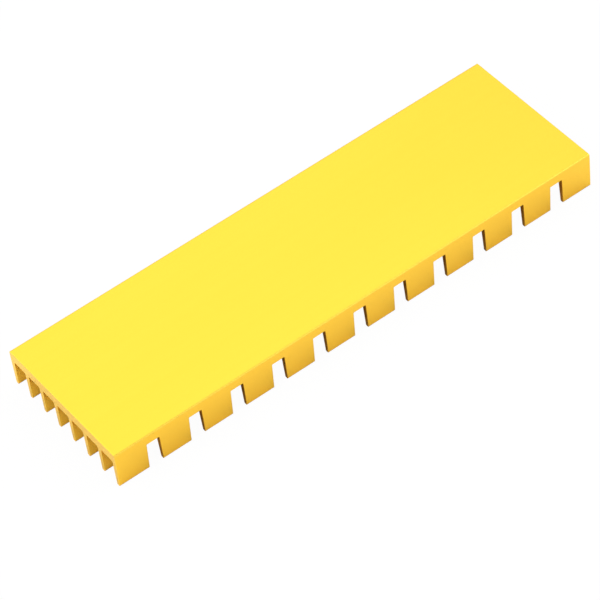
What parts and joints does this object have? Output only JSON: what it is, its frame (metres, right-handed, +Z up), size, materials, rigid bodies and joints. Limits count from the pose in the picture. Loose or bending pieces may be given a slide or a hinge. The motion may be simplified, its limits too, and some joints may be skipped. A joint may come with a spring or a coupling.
{
  "type": "extruded heat sink",
  "caption": "Flat gold anodised aluminium heat sink: a smooth base plate over rows of short fins that are sawn across into pins.",
  "frame": {"origin": "under the middle of the part, on the plane of the fin tips", "axes": "+X along the extrusion and its fins, +Y across the fins, +Z up, out of the flat base face; the part lies on its fin tips"},
  "size_m": [0.07, 0.0212, 0.0054],
  "materials": {
    "gold_anodised": "satin gold anodised"
  },
  "bodies": {
    "root": {"heat_sink": "gold_anodised"}
  },
  "joints": []
}
